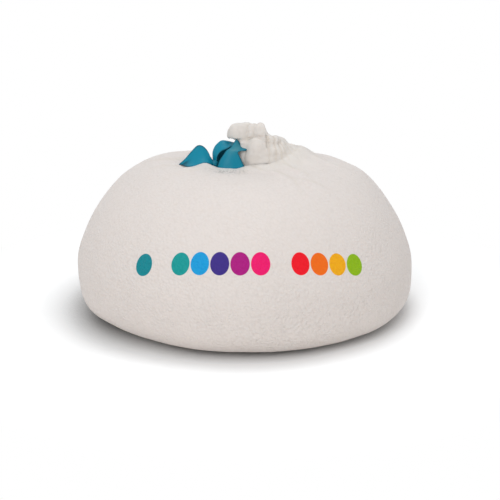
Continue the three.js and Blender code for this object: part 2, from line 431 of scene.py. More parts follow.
@dataclass(frozen=True)
class FilmFinish:
    """Soft white film drawn over beads, with the beads pressing through as fine pebbles.

    It reads three attributes: bead_press, where beads press on the film, the painted shade
    in folds and beside soft folds, and crinkle, the patch of crinkled film.
    """

    colour: tuple = (0.81, 0.757, 0.728)
    slack_colour: tuple = (0.775, 0.738, 0.702)
    # Painted shade in the gaps between the beads.
    gap_shade_colour: tuple = (0.68, 0.62, 0.58)
    # Painted shade in folds and beside soft folds.
    fold_shade_colour: tuple = (0.70, 0.64, 0.55)
    # Painted shade in the hollows of the crinkles.
    hollow_shade_colour: tuple = (0.44, 0.425, 0.40)
    tone_scale: float = 4.0
    tone_gain: float = 1.015
    slack_power: float = 2.5
    gap_power: float = 2.0
    gap_shade_share: float = 0.35
    fold_shade_share: float = 0.45
    roughness: float = 0.55
    specular: float = 0.22
    glow: float = 0.4
    glow_radius: tuple = (1.0, 0.92, 0.85)
    glow_scale: float = 7 * MM
    pebble_size: float = 4.4 * MM
    pebble_height: float = 1.43 * MM
    pebble_blend: float = 0.45
    # How the rows of pebbles wander, in pebbles: size of one bend and its reach.
    wander: tuple = (3.0, 1.2)
    # Patches of firm and slack beads: scale, noise at both ends and height of the pebbles there.
    patch_scale: float = 9.0
    patch_noise: tuple = (0.3, 0.7)
    patch_press: tuple = (0.55, 1.0)
    # Loose beads near the top and tight ones below: level and height of the pebbles there.
    load_level: tuple = (200 * MM, 70 * MM)
    load_press: tuple = (0.6, 1.7)
    crinkle_size: float = 14.0 * MM
    crinkle_height: float = 3.0 * MM
    crinkle_strength: float = 0.35
    crinkle_detail: float = 3.0
    crinkle_pull: float = 1.2
    ripple_size: float = 4.5 * MM
    ripple_stretch: float = 0.4
    ripple_height: float = 3.0 * MM
    ripple_pull: float = 1.0
    hollow_shade_noise: tuple = (0.50, 0.38)

    def cells(self, graph: NodeGraph, place: Socket) -> Socket:
        """Scatter the beads as cells, at places that wander with a cloud noise.

        Args:
            graph: Graph of the material.
            place: Object coordinates.

        Returns:
            The distance from the nearest bead's middle, as a share of a bead's size.
        """
        bend, reach = self.wander
        cloud = graph.noise(place, 1.0 / (bend * self.pebble_size)).node.outputs["Color"]
        operands = {0: cloud, "Scale": reach * self.pebble_size}
        drift = graph.add("ShaderNodeVectorMath", operands, operation="SCALE").outputs[0]
        moved = graph.add("ShaderNodeVectorMath", {0: place, 1: drift}, operation="ADD").outputs[0]
        operands = {"Vector": moved, "Scale": 1.0 / self.pebble_size, "Smoothness": self.pebble_blend}
        return graph.add("ShaderNodeTexVoronoi", operands, feature="SMOOTH_F1").outputs[0]

    def make(self) -> bpy.types.Material:
        """Build the material: pebbles, crinkles and ripples as bumps, and a mixed colour with painted
        shade in the gaps between beads, in folds and in the crinkles.

        Returns:
            The film.
        """
        material = bpy.data.materials.new("white_film")
        graph = NodeGraph(material)
        place = graph.place()
        press = graph.attribute("bead_press")
        crinkled = graph.attribute("crinkle")
        slack = graph.math("SUBTRACT", 1.0, press)
        cells = self.cells(graph, place)
        stretch = {"Vector": place, "Scale": (1.0, self.ripple_stretch, 1.0)}
        stretched = graph.add("ShaderNodeMapping", stretch).outputs[0]
        ripple = graph.noise(stretched, 1.0 / self.ripple_size, pull=self.ripple_pull)

        dome = graph.math("SUBTRACT", 1.0, cells)
        patches = graph.span(graph.noise(place, self.patch_scale), *self.patch_noise, *self.patch_press)
        load = graph.span(graph.axes(place)[2], *self.load_level, *self.load_press)
        relief = graph.bump(graph.times(dome, press, patches, load), self.pebble_height)
        crumple = graph.times(
            graph.noise(place, 1.0 / self.crinkle_size, self.crinkle_detail, self.crinkle_pull), slack
        )
        relief = graph.bump(crumple, self.crinkle_height, self.crinkle_strength, relief)
        relief = graph.bump(graph.times(ripple, crinkled), self.ripple_height, below=relief)

        clean = tuple(min(1.0, self.tone_gain * level) for level in self.colour)
        film = graph.mix(graph.noise(place, self.tone_scale), self.colour, clean)
        film = graph.mix(graph.math("POWER", slack, self.slack_power), film, self.slack_colour)
        # Painted shade: darker in the gaps between the beads.
        bead_gap_shade = graph.times(graph.math("POWER", cells, self.gap_power), press, self.gap_shade_share)
        film = graph.mix(bead_gap_shade, film, self.gap_shade_colour)
        # Painted shade: darker and warmer in folds and beside soft folds.
        film = graph.mix(graph.times(graph.attribute("fold_shade"), self.fold_shade_share), film, self.fold_shade_colour)
        # Painted shade in the hollows of the crinkled patch.
        painted_hollow_shade = graph.times(graph.span(ripple, *self.hollow_shade_noise), crinkled)
        film = graph.mix(painted_hollow_shade, film, self.hollow_shade_colour)
        shader = graph.add("ShaderNodeBsdfPrincipled", {
            "Base Color": DiscPrint().paint(graph, place, film),
            "Roughness": self.roughness,
            "Specular IOR Level": self.specular,
            "Subsurface Weight": self.glow,
            "Subsurface Radius": self.glow_radius,
            "Subsurface Scale": self.glow_scale,
            "Normal": relief,
        })
        graph.add("ShaderNodeOutputMaterial", {"Surface": shader.outputs[0]})
        return material


@dataclass(frozen=True)
class TapeFinish:
    """Satin teal film tape, darker along its edges, with painted shade at the knot, in a tucked fold
    and over the flap, and a painted sheen where light grazes it.

    It reads two attributes: the dark edges with the painted shade, and the painted sheen.
    """

    colour: tuple = (0.002, 0.213, 0.328)
    pale: tuple = (0.004, 0.270, 0.400)
    # Dark edges, and painted shade at the knot, in the tucked fold and over the flap.
    dark_edge_and_shade_colour: tuple = (0.003, 0.075, 0.115)
    # Painted sheen where light grazes the film.
    sheen_colour: tuple = (0.065, 0.285, 0.350)
    tone_scale: float = 28.0
    sheen_share: float = 0.9
    dark_edge_and_shade_share: float = 0.85
    roughness: float = 0.38
    specular: float = 0.18
    ripple_scale: float = 160.0
    ripple_height: float = 0.6 * MM
    ripple_strength: float = 0.15

    def make(self) -> bpy.types.Material:
        """Build the material.

        Returns:
            A material with soft tone changes and a fine uneven surface.
        """
        material = bpy.data.materials.new("teal_tape")
        graph = NodeGraph(material)
        place = graph.place()
        film = graph.mix(graph.noise(place, self.tone_scale), self.colour, self.pale)
        # Painted sheen.
        film = graph.mix(graph.times(graph.attribute("painted_sheen"), self.sheen_share), film, self.sheen_colour)
        # Dark edges and painted shade.
        film = graph.mix(graph.times(graph.attribute("dark_edge_and_shade"), self.dark_edge_and_shade_share), film, self.dark_edge_and_shade_colour)
        ripple = graph.noise(place, self.ripple_scale)
        shader = graph.add("ShaderNodeBsdfPrincipled", {
            "Base Color": film,
            "Roughness": self.roughness,
            "Specular IOR Level": self.specular,
            "Normal": graph.bump(ripple, self.ripple_height, self.ripple_strength),
        })
        graph.add("ShaderNodeOutputMaterial", {"Surface": shader.outputs[0]})
        return material


@dataclass(frozen=True)
class FloorFinish:
    """White floor that keeps the bag's shadow and is pure white where it is open.

    Pairs are values in the middle and at both sides of the bag, or where a change starts
    and ends.
    """

    colour: tuple = (0.87, 0.845, 0.825)
    seen_colour: tuple = (1.34, 1.36, 1.375)
    contact_reach: tuple = (0.092, 0.125)
    contact_shade: tuple = (0.68, 1.0)
    contact_sides: tuple = (0.13, 0.28)
    contact_lean: float = math.radians(20.0)
    contact_fade: float = 1.5
    contact_samples: int = 8
    open_reach: tuple = (0.36, 0.60)

    def make(self) -> bpy.types.Material:
        """Build the material.

        Returns:
            A diffuse white. The camera sees it brighter, darker where the bag hangs over it,
            and pure white from some way off.
        """
        material = bpy.data.materials.new("white_floor")
        graph = NodeGraph(material)
        seen = graph.background_rays()
        place = graph.place()
        sideways = graph.math("ABSOLUTE", graph.axes(place)[0])
        reach, shade = (
            graph.span(sideways, *self.contact_sides, *ends, Ease.SOFT)
            for ends in (self.contact_reach, self.contact_shade)
        )
        lean = {0: math.sin(self.contact_lean), 2: math.cos(self.contact_lean)}
        towards = graph.add("ShaderNodeCombineXYZ", lean).outputs[0]
        operands = {"Distance": reach, "Normal": towards}
        nook = graph.add("ShaderNodeAmbientOcclusion", operands, samples=self.contact_samples)
        closed = graph.math("SUBTRACT", 1.0, nook.outputs["AO"])
        hidden = graph.times(graph.math("POWER", closed, self.contact_fade), shade)
        operands = {0: self.seen_colour, "Scale": graph.math("SUBTRACT", 1.0, hidden)}
        bright = graph.add("ShaderNodeVectorMath", operands, operation="SCALE").outputs[0]
        near = graph.add("ShaderNodeBsdfDiffuse", {"Color": graph.mix(seen, self.colour, bright)})
        distance = graph.add("ShaderNodeVectorMath", {0: place}, operation="LENGTH").outputs["Value"]
        away = graph.times(graph.span(distance, *self.open_reach, ease=Ease.SOFT), seen)
        white = graph.add("ShaderNodeEmission")
        operands = {0: away, 1: near.outputs[0], 2: white.outputs[0]}
        both = graph.add("ShaderNodeMixShader", operands)
        graph.add("ShaderNodeOutputMaterial", {"Surface": both.outputs[0]})
        return material


@dataclass(frozen=True)
class FoldSet:
    """Folds round the mouth: arches of their own widths and sizes between pinches."""

    pinches: tuple  # angles between folds at the foot, in degrees from +X
    turns: tuple  # how far each pinch has turned at the crest, in degrees
    bulges: tuple  # size of the fold after each pinch
    pinch_depth: float  # how deep a pinch cuts into the folds beside it, up to 1
    roundness: float = 1.15

    def read(self, angle: np.ndarray, level: np.ndarray) -> np.ndarray:
        """Give the folds' cross-section: sine arches raised to the roundness, cut by pinches.

        Args:
            angle: Angles of the columns, from 0 to a full turn, shape (columns,).
            level: Level of each row between foot and end, shape (rows,).

        Returns:
            Heights from low in a pinch to about 1 on a fold, shape (rows, columns).
        """
        rows = []
        count = len(self.pinches)
        order = np.arange(-count, 2 * count)
        bulge = np.array(self.bulges * 3)
        for share in level:
            turned = np.array(self.pinches, float) + share * np.array(self.turns)
            edges = np.concatenate([turned - 360, turned, turned + 360])
            phase = np.interp(np.degrees(angle), edges, order)
            part = phase - np.floor(phase)
            index = np.floor(phase).astype(int) + count
            arch = np.sin(math.pi * part) ** self.roundness
            rows.append(bulge[index] * (1.0 - self.pinch_depth * (1.0 - arch)))
        return np.array(rows)


@dataclass(frozen=True)
class Profile:
    """One side of the gather, in even steps from its foot over the crest to its middle."""

    size: tuple  # share of the full outline
    rise: tuple  # share of the way up to the crest

    def read(self, level: np.ndarray) -> np.ndarray:
        """Give size and rise at each level along smooth curves, shape (levels, 1, 2)."""
        stations = np.linspace(0.0, 1.0, len(self.size))
        return smooth_curve(stations, np.transpose([self.size, self.rise]), level)[:, None, :]


@dataclass
class GatheredMouth:
    """The hem of the mouth, drawn together into folds: a tall lobe left, a low apron right.

    A pair of lengths or shares is where a smooth step starts and where it is complete.
    """

    middle: tuple = (32 * MM, 0.0)
    half_width: float = 70 * MM
    half_depth: float = 38 * MM
    depth_taper: float = 12 * MM
    neck_share: float = 0.84
    lower: FoldSet = FoldSet(
        pinches=(
            -168, -146, -123, -80, -68, -57, -46, -33, -17, 3, 22, 45, 62, 84, 104, 124, 146, 170,
        ),
        turns=(4, -8, 8, -3, 5, 3, -5, 5, -3, 4, -6, 8, -5, 6, 9, -6, 4, -3),
        bulges=(
            0.9, 1.5, 1.7, 0.7, 0.8, 0.65, 0.8, 0.7, 0.8, 0.7, 0.9, 0.8, 1.1, 0.9, 1.0, 0.9, 1.1, 0.8,
        ),
        pinch_depth=0.7,
    )
    upper: FoldSet = FoldSet(
        pinches=(-172, -126, -108, -86, -62, -50, -30, -8, 18, 42, 75, 100, 118, 150),
        turns=(10, 2, -4, 2, 6, 4, -4, 6, -6, 8, -7, 8, 10, -8),
        bulges=(1.0, 0.75, 0.95, 0.85, 0.8, 1.0, 0.9, 1.1, 0.9, 1.2, 0.9, 0.7, 1.1, 0.9),
        pinch_depth=0.55,
    )
    # The crease between lower and upper folds: its level, its waves as turns, phase and
    # height, its half width, and its share of the folds' height.
    seam: float = 0.40
    seam_waves: tuple = ((3, 0.4, 0.035), (7, 2.0, 0.02))
    seam_half_width: float = 0.035
    seam_cut: float = 0.7
    seam_blend: tuple = (-0.02, 0.05)
    one_tier: tuple = (-0.15, 0.15)
    # Crest of the gather, in millimetres.
    crest_x: tuple = (-45, -38, -31, -20, 0, 20, 32, 36, 39, 43, 58, 66, 73, 82, 96)
    crest_z: tuple = (302, 310, 319, 324, 325, 324, 323, 319, 309, 305, 302, 298, 292, 286, 282)
    back_slope: float = 0.15
    least_rise: float = 5 * MM
    left: Profile = Profile(
        size=(0.84, 0.74, 0.64, 0.62, 0.74, 0.83, 0.84, 0.82, 0.73, 0.50, 0.28, 0.05),
        rise=(0.0, 0.18, 0.38, 0.57, 0.66, 0.70, 0.78, 0.89, 0.985, 1.0, 0.93, 0.88),
    )
    front: Profile = Profile(
        size=(0.84, 0.84, 0.84, 0.80, 0.72, 0.67, 0.67, 0.64, 0.54, 0.38, 0.22, 0.05),
        rise=(0.0, 0.15, 0.32, 0.48, 0.60, 0.70, 0.81, 0.93, 1.0, 1.0, 0.94, 0.88),
    )
    right: Profile = Profile(
        size=(0.84, 0.78, 0.72, 0.66, 0.60, 0.54, 0.47, 0.40, 0.32, 0.22, 0.13, 0.05),
        rise=(0.0, 0.45, 0.75, 0.9, 1.0, 1.02, 1.02, 1.0, 1.0, 1.0, 0.95, 0.88),
    )
    left_blend: tuple = (0.42, 0.95)
    right_blend: tuple = (0.55, 0.95)
    # Height of the folds in millimetres, in the same steps, and how it calms on the right.
    swings: tuple = (2.0, 3.0, 4.5, 5.5, 6.0, 6.5, 6.5, 6.0, 5.0, 4.0, 2.5, 0.5)
    calm_share: float = 0.75
    calm_blend: tuple = (0.1, 0.8)
    # The ridge of drawn-up film right of the mouth.
    apron_rise: float = 28 * MM
    apron_start: tuple = (34 * MM, 80 * MM)
    apron_end: tuple = (92 * MM, 152 * MM)
    apron_y: float = 4 * MM
    apron_half_width: float = 34 * MM

    def outline(self, angle: np.ndarray, size: np.ndarray) -> tuple:
        """Give the plan of the gather at a size: an ellipse that is deeper on the right.

        Args:
            angle: Angles round the middle.
            size: Share of the full outline.

        Returns:
            The x and y places.
        """
        depth = self.half_depth + self.depth_taper * np.cos(angle)
        x = self.middle[0] + self.half_width * size * np.cos(angle)
        y = self.middle[1] + depth * size * np.sin(angle)
        return x, y

    def crest(self, x: np.ndarray, y: np.ndarray) -> np.ndarray:
        """Give the height of the crest: a flat tall lobe, a step and a slope, lower behind."""
        place, height = MM * np.array([self.crest_x, self.crest_z], float)
        return smooth_curve(place, height, x) - self.back_slope * y

    def apron(self, x: np.ndarray, y: np.ndarray) -> np.ndarray:
        """Give the rise of the ridge right of the mouth: a bell across, a rise and fall along.

        Args:
            x: Places to the right.
            y: Places towards the back.

        Returns:
            Heights in metres.
        """
        reach = 1.0 - smooth_step(*self.apron_end, x)
        start = smooth_step(*self.apron_start, x)
        return self.apron_rise * reach * start * bell(y - self.apron_y, self.apron_half_width)

    def folds(self, angle: np.ndarray, level: np.ndarray) -> np.ndarray:
        """Give the fold height: lower folds that end in a wavy crease below the upper ones.

        Args:
            angle: Angles of the columns, from 0 to a full turn, shape (columns,).
            level: Level of each row between foot and end, shape (rows,).

        Returns:
            Heights from low in a pinch to about 1 on a fold, shape (rows, columns).
        """
        waves = sum(height * np.sin(turns * angle + phase) for turns, phase, height in self.seam_waves)
        above = level[:, None] - (self.seam + waves)[None, :]
        tiers = 1.0 - smooth_step(*self.one_tier, np.cos(angle))
        share = smooth_step(*self.seam_blend, above) * tiers
        both = self.lower.read(angle, level) * (1.0 - share) + self.upper.read(angle, level) * share
        return both * (1.0 - self.seam_cut * bell(above, self.seam_half_width) * tiers)

    def rings(self, angle: np.ndarray, foot: Callable, count: int) -> tuple:
        """Draw the gather's smooth rings, from the foot over the crest to the closed middle.

        The profiles of the left, of the front and back, and of the right are blended round
        the mouth.

        Args:
            angle: Angles of the columns.
            foot: Function that gives the film's height at x and y.
            count: Number of rings.

        Returns:
            Points of shape (count, columns, 3), and the fold height of each.
        """
        turn = angle[None, :]
        sideways = np.cos(turn)
        level = np.linspace(0.0, 1.0, count + 1)[1:]
        left = smooth_step(*self.left_blend, -sideways)[..., None]
        right = smooth_step(*self.right_blend, sideways)[..., None]
        front = self.front.read(level) * (1.0 - left - right)
        blend = self.left.read(level) * left + self.right.read(level) * right + front
        size, rise = blend[..., 0], blend[..., 1]
        x, y = self.outline(turn, size)
        base = foot(*self.outline(turn, np.full_like(size, self.neck_share)))
        top = np.maximum(self.crest(x, y), base + self.least_rise)
        z = base + (top - base) * rise
        stations = np.linspace(0.0, 1.0, len(self.swings))
        swing = smooth_curve(stations, MM * np.array(self.swings), level)[:, None]
        swing = swing * (1.0 - self.calm_share * smooth_step(*self.calm_blend, sideways))
        return np.stack([x, y, z], axis=-1), swing * (self.folds(angle, level) - 0.5)


@dataclass
class FilmBag:
    """The film bag: a flat base, a full side, a slack dished crown and a gathered mouth.

    A pair of lengths or shares is where a smooth step starts and where it is complete.
    """

    radius: float = 294 * MM
    widest: float = 96 * MM
    crown_rise: float = 175 * MM
    base_radius: float = 223 * MM
    base_shift: tuple = (12 * MM, 12 * MM)  # x and y of the base's middle
    squareness: float = 4.1
    fullness: float = 1.2
    side_squareness: float = 5.2
    side_fullness: float = 1.73
    rounding_passes: int = 60
    rounding_lift: float = 6 * MM
    rounding_reach: float = 34 * MM
    dish_depth: float = 24 * MM
    dish_radius: float = 105 * MM
    back_drop: float = 24 * MM
    crease_x: float = -50 * MM
    crease_depth: float = 10 * MM
    crease_half_width: float = 24 * MM
    crease_start: tuple = (-20 * MM, 40 * MM)
    crease_end: tuple = (125 * MM, 215 * MM)
    columns: int = 480
    base_rows: int = 6
    side_rows: int = 26
    crown_rows: int = 78
    mouth_rows: int = 96
    mouth: GatheredMouth = field(default_factory=GatheredMouth)
    # Crinkled patch, in millimetres: x, y and its reach along both.
    patch: tuple = (-24, -80, 26, 28)
    # Soft lumps of the film, in millimetres: x, y, height and radius.
    lumps: tuple = (
        (-100, -30, -7, 26), (-66, -36, 5, 13), (8, -44, 5, 24), (-84, 55, 5, 26),
        (60, -75, 3, 22), (-35, -85, -2, 20), (208, 20, 4.5, 32),
    )
    # Soft lumps of the side: bearing, height and rise, and reach round and up.
    side_lumps: tuple = ((-155, 15, 6, 13, 35),)
    # Soft folds of the film, in millimetres: x and y of both ends, height and half width.
    ridges: tuple = (
        (13, -52, 80, -162, 3.6, 7), (57, -42, 100, -114, 3.4, 7), (80, -134, 138, -148, 2.4, 7),
        (-60, -52, -118, -96, 1.5, 9), (-90, -20, -165, -36, 1.8, 8), (-100, 10, -170, 30, 2.2, 9),
        (20, 50, 10, 130, 2.4, 9), (60, 48, 104, 112, 2.2, 8), (100, 20, 170, 52, 2.0, 9),
        (-10, -56, -20, -112, 1.4, 7), (-20, 44, -60, 120, 2.2, 9), (108, -14, 176, -30, 2.0, 9),
    )
    # Along a soft fold, as shares of its length: how far it bends, and its start and end.
    ridge_bend: float = 0.06
    ridge_start: tuple = (-0.3, 0.2)
    ridge_end: tuple = (0.5, 1.2)
    # The painted shade beside a soft fold: its place and half width in the fold's half widths,
    # and the height that makes it full.
    hollow_place: float = 1.3
    hollow_width: float = 0.6
    hollow_height: float = 4 * MM
    # The fillet at the gather's foot. It starts, lies in front and grows by the cosine and
    # the sine of the bearing.
    fillet_height: float = 5 * MM
    fillet_reach: float = 9 * MM
    fillet_start: tuple = (-0.75, -0.35)
    fillet_front: tuple = (0.0, 0.6)
    fillet_growth: float = 0.8
    fillet_growing: tuple = (-0.4, 0.3)
    # The gather's folds run out over the crown: height, reach, and how the reach changes.
    fold_height: float = 2.0 * MM
    fold_reach: float = 24 * MM
    fold_waves: tuple = (3, 1.0, 0.4)  # turns, phase and share
    fold_right: tuple = (0.6, 1.0)
    # The painted shade in folds, and how far it reaches out from the gather's foot.
    shade_gain: float = 1.25
    foot_shade_reach: float = 7 * MM
    press_reach: tuple = (8 * MM, 80 * MM)
    # Random relief in millimetres, each as height and wavelength: lumps of beads, and the
    # waves and creases of slack film. It starts above the flat foot.
    bead_lumps: tuple = ((1.6, 90), (0.7, 38))
    film_waves: tuple = ((2.4, 21), (0.8, 9))
    film_creases: tuple = ((0.8, 27), (0.5, 12))
    bead_noise: LatticeNoise = LatticeNoise(5)
    film_noise: LatticeNoise = LatticeNoise(9)
    flat_foot: tuple = (0.0, 20 * MM)

    def crown_height(self, x: np.ndarray, y: np.ndarray) -> np.ndarray:
        """Give the crown's height: a squared dome less a dish, a sloped back and a crease.

        The dome falls with a power of the distance from the middle. The back sinks by a
        parabola of that distance, most straight behind. The dish, the crease and the soft
        lumps are bells.

        Args:
            x: Places to the right.
            y: Places towards the back.

        Returns:
            Heights above the floor.
        """
        reach = np.hypot(x, y)
        share = np.minimum(reach / self.radius, 1.0)
        curve = (1.0 - share**self.squareness) ** (1.0 / self.fullness)
        backward = np.clip(y / np.maximum(reach, TINY), 0.0, 1.0) ** 4
        slope = self.back_drop * 4.0 * share * (1.0 - share) * backward
        middle_x, middle_y = self.mouth.middle
        dish = self.dish_depth * bell(np.hypot(x - middle_x / 2, y - middle_y), self.dish_radius)
        run = smooth_step(*self.crease_start, y) * (1.0 - smooth_step(*self.crease_end, y))
        crease = self.crease_depth * bell(x - self.crease_x, self.crease_half_width) * run
        height = self.widest + self.crown_rise * curve - slope - dish - crease
        for place_x, place_y, rise, width in MM * np.array(self.lumps, float):
            height = height + rise * bell(np.hypot(x - place_x, y - place_y), width)
        return height + self.mouth.apron(x, y)

    def ridge_height(
        self, x: np.ndarray, y: np.ndarray, beside: float = 0.0, narrowness: float = 1.0,
    ) -> np.ndarray:
        """Give the height of the soft folds: a bell across each, faded towards its ends.

        Args:
            x: Places to the right.
            y: Places towards the back.
            beside: How far beside each fold the bell stands, as a share of its half width.
            narrowness: Half width of the bell as a share of the fold's.

        Returns:
            Heights in metres.
        """
        total = np.zeros(np.broadcast(x, y).shape)
        for x0, y0, x1, y1, rise, width in MM * np.array(self.ridges, float):
            length = math.hypot(x1 - x0, y1 - y0)
            along = ((x - x0) * (x1 - x0) + (y - y0) * (y1 - y0)) / length
            bend = self.ridge_bend * length * np.sin(math.pi * np.clip(along / length, 0.0, 1.0))
            across = ((x - x0) * (y0 - y1) + (y - y0) * (x1 - x0)) / length - bend
            start = smooth_step(*self.ridge_start, along / length)
            fade = start * (1 - smooth_step(*self.ridge_end, along / length))
            total += rise * bell(across - beside * width, narrowness * width) * fade
        return total

    def fillet(self, turn: np.ndarray, distance: np.ndarray) -> np.ndarray:
        """Give the rise of the film where it runs up into the gather: a bell off its foot.

        Args:
            turn: Bearings round the gather. The fillet lies in front, away from the knot.
            distance: Distances from the foot of the gather.

        Returns:
            Heights in metres.
        """
        cos = np.cos(turn)
        present = smooth_step(*self.fillet_start, cos) * smooth_step(*self.fillet_front, -np.sin(turn))
        wider = 1.0 + self.fillet_growth * smooth_step(*self.fillet_growing, cos)
        return self.fillet_height * present * wider * bell(distance, self.fillet_reach * wider)

    def neck_height(self, x: np.ndarray, y: np.ndarray) -> np.ndarray:
        """Give the film's height at the foot of the gather."""
        turn = np.arctan2(y - self.mouth.middle[1], x - self.mouth.middle[0])
        return self.crown_height(x, y) + self.ridge_height(x, y) + self.fillet(turn, 0.0 * turn)

    def base_rings(self, turn: np.ndarray) -> np.ndarray:
        """Draw the flat base as even circles.

        Args:
            turn: Bearings of the columns, shape (1, columns).

        Returns:
            Points of shape (rows, columns, 3).
        """
        radius = self.base_radius * (np.arange(1, self.base_rows) / self.base_rows)[:, None]
        x = self.base_shift[0] + radius * np.cos(turn)
        y = self.base_shift[1] + radius * np.sin(turn)
        return np.stack([x, y, 0.0 * x], axis=-1)

    def side_rings(self, turn: np.ndarray) -> np.ndarray:
        """Draw the side up to its widest level, as a squared quarter curve with soft lumps.

        Args:
            turn: Bearings of the columns, shape (1, columns).

        Returns:
            Points of shape (rows, columns, 3).
        """
        rise = (1.0 - np.cos(0.5 * math.pi * np.arange(self.side_rows) / self.side_rows))[:, None]
        swell = (1.0 - (1.0 - rise) ** self.side_squareness) ** (1.0 / self.side_fullness)
        radius = self.base_radius + (self.radius - self.base_radius) * swell
        for bearing, height, out, spread, reach in self.side_lumps:
            round_it = (np.degrees(turn) - bearing + 180.0) % 360.0 - 180.0
            above = self.widest * rise / MM - height
            radius = radius + out * MM * bell(round_it, spread) * bell(above, reach)
        shift = (1.0 - rise) ** 2
        x = self.base_shift[0] * shift + radius * np.cos(turn)
        y = self.base_shift[1] * shift + radius * np.sin(turn)
        return np.stack([x, y, self.widest * rise + 0.0 * turn], axis=-1)

    def rings(self) -> tuple:
        """Draw the rings of the whole skin and mark where beads press on the film.

        Returns:
            Points of shape (rows, columns, 3), and for each point the fold height, the
            press of the beads and the painted shade in folds and beside soft folds.
        """
        angle = TAU * np.arange(self.columns) / self.columns
        turn = angle[None, :]
        share = np.cos(0.5 * math.pi * np.arange(self.crown_rows) / self.crown_rows)[:, None]
        neck_x, neck_y = self.mouth.outline(turn, self.mouth.neck_share)
        x = neck_x + (self.radius * np.cos(turn) - neck_x) * share
        y = neck_y + (self.radius * np.sin(turn) - neck_y) * share
        distance = np.hypot(x - neck_x, y - neck_y)
        height = self.crown_height(x, y) + self.ridge_height(x, y) + self.fillet(turn, distance)
        crown = np.stack([x, y, height], axis=-1)
        mouth, mouth_folds = self.mouth.rings(angle, self.neck_height, self.mouth_rows)
        skin = np.concatenate([self.base_rings(turn), self.side_rings(turn), crown, mouth])
        points = self.rounded(skin)

        first = self.base_rows - 1 + self.side_rows
        gather = first + self.crown_rows
        arches = self.mouth.folds(angle, np.zeros(1))
        waves, phase, wave = self.fold_waves
        wider = 1.0 + wave * np.sin(waves * turn + phase) + smooth_step(*self.fold_right, np.cos(turn))
        folds = np.zeros(points.shape[:2])
        folds[first:gather] = self.fold_height * (arches - 0.5) * bell(distance, self.fold_reach * wider)
        folds[gather:] = mouth_folds
        press = np.ones(points.shape[:2])
        press[first:gather] = smooth_step(*self.press_reach, distance)
        press[gather:] = 0.0
        # Painted shade for the film's colour: beside the soft folds, in the folds at the gather's foot,
        # and in the gather's folds.
        beside = self.ridge_height(x, y, self.hollow_place, self.hollow_width)
        painted_hollow_shade = np.clip(beside / self.hollow_height, 0.0, 1.0)
        foot_shade = self.shade(arches) * bell(distance, self.foot_shade_reach)
        depth = np.zeros(points.shape[:2])
        depth[first:gather] = np.maximum(foot_shade, painted_hollow_shade)
        level = np.arange(1, self.mouth_rows + 1) / self.mouth_rows
        depth[gather:] = self.shade(self.mouth.folds(angle, level))
        return points, folds, press, depth

    def crinkled(self, points: np.ndarray) -> np.ndarray:
        """Mark the oval patch of crinkled film in front of the tape, as a bell round it.

        Args:
            points: Places of the skin's vertices, shape (n, 3).

        Returns:
            The share of crinkles at each vertex.
        """
        middle, reach = MM * np.array(self.patch[:2]), MM * np.array(self.patch[2:])
        away = (points[:, :2] - middle) / reach
        return bell(np.linalg.norm(away, axis=1), 1.0) * (points[:, 2] > self.widest)

    def shade(self, folds: np.ndarray) -> np.ndarray:
        """Give the painted shade in a fold: the cube of how far its height stays below a full fold."""
        return np.clip(self.shade_gain * (1.0 - folds), 0.0, 1.0) ** 3

    def rounded(self, points: np.ndarray) -> np.ndarray:
        """Round off the widest level by averaging rings with their neighbours near it.

        Args:
            points: Rings of the skin, shape (rows, columns, 3).

        Returns:
            The rounded rings.
        """
        near = bell(points[..., 2:] - self.widest - self.rounding_lift, self.rounding_reach)
        for _ in range(self.rounding_passes):
            mean = 0.5 * (np.roll(points, 1, axis=0) + np.roll(points, -1, axis=0))
            points = points + 0.5 * near * (mean - points)
        return points

    def relief(self, points: np.ndarray, press: np.ndarray) -> np.ndarray:
        """Give the random relief: lumps where beads press, waves less creases where slack.

        Args:
            points: Rings of the skin, shape (rows, columns, 3).
            press: Press of the beads at each point.

        Returns:
            Heights in metres.
        """
        beads, film = self.bead_noise, self.film_noise
        lumps = sum(rise * beads.read(points, long) for rise, long in MM * np.array(self.bead_lumps))
        waves = sum(rise * film.read(points, long) for rise, long in MM * np.array(self.film_waves))
        creases = sum(
            rise * film.creases(points, long) for rise, long in MM * np.array(self.film_creases)
        )
        above_floor = smooth_step(*self.flat_foot, points[..., 2])
        return (lumps * press + (waves - creases) * (1.0 - press)) * above_floor

    def build(self) -> bpy.types.Object:
        """Make the skin's mesh from its rings, a middle point below and one in the pucker.

        Returns:
            The film bag.
        """
        points, folds, press, depth = self.rings()
        points = points + grid_normals(points) * folds[..., None]
        points = points + grid_normals(points) * self.relief(points, press)[..., None]
        rows, columns = points.shape[:2]
        first = np.array([[*self.base_shift, 0.0]])
        last = points[-1].mean(axis=0, keepdims=True)
        vertices = np.concatenate([first, points.reshape(-1, 3), last])
        column = np.arange(columns)
        following = (column + 1) % columns
        end = 1 + rows * columns
        ring = end - columns
        bottom = np.stack([0 * column, 1 + following, 1 + column], axis=-1)
        top = np.stack([end + 0 * column, ring + column, ring + following], axis=-1)
        quads = 1 + ring_quads(rows - 1, columns)
        bag = new_object("gathered_film_bag", vertices, quads, bottom, top)
        add_attribute(bag, "bead_press", np.concatenate([[1.0], press.ravel(), [0.0]]))
        # Painted shade in folds and beside soft folds.
        add_attribute(bag, "fold_shade", np.concatenate([[0.0], depth.ravel(), [1.0]]))
        add_attribute(bag, "crinkle", self.crinkled(vertices))
        bag.data.materials.append(FilmFinish().make())
        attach(bag, BODY)
        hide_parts("film_bag")
        return bag


@dataclass
class Strand:
    """One strip of the tape, or its knot, with the dark edges, painted shade and painted sheen of its
    vertices.
    """

    vertices: np.ndarray
    quads: np.ndarray
    # Darkness of the edges, and painted shade at the knot, in the tucked fold and over the flap.
    dark_edge_and_shade: np.ndarray  # nearness to a dark edge or fold
    painted_sheen: np.ndarray  # paleness where the light grazes the film


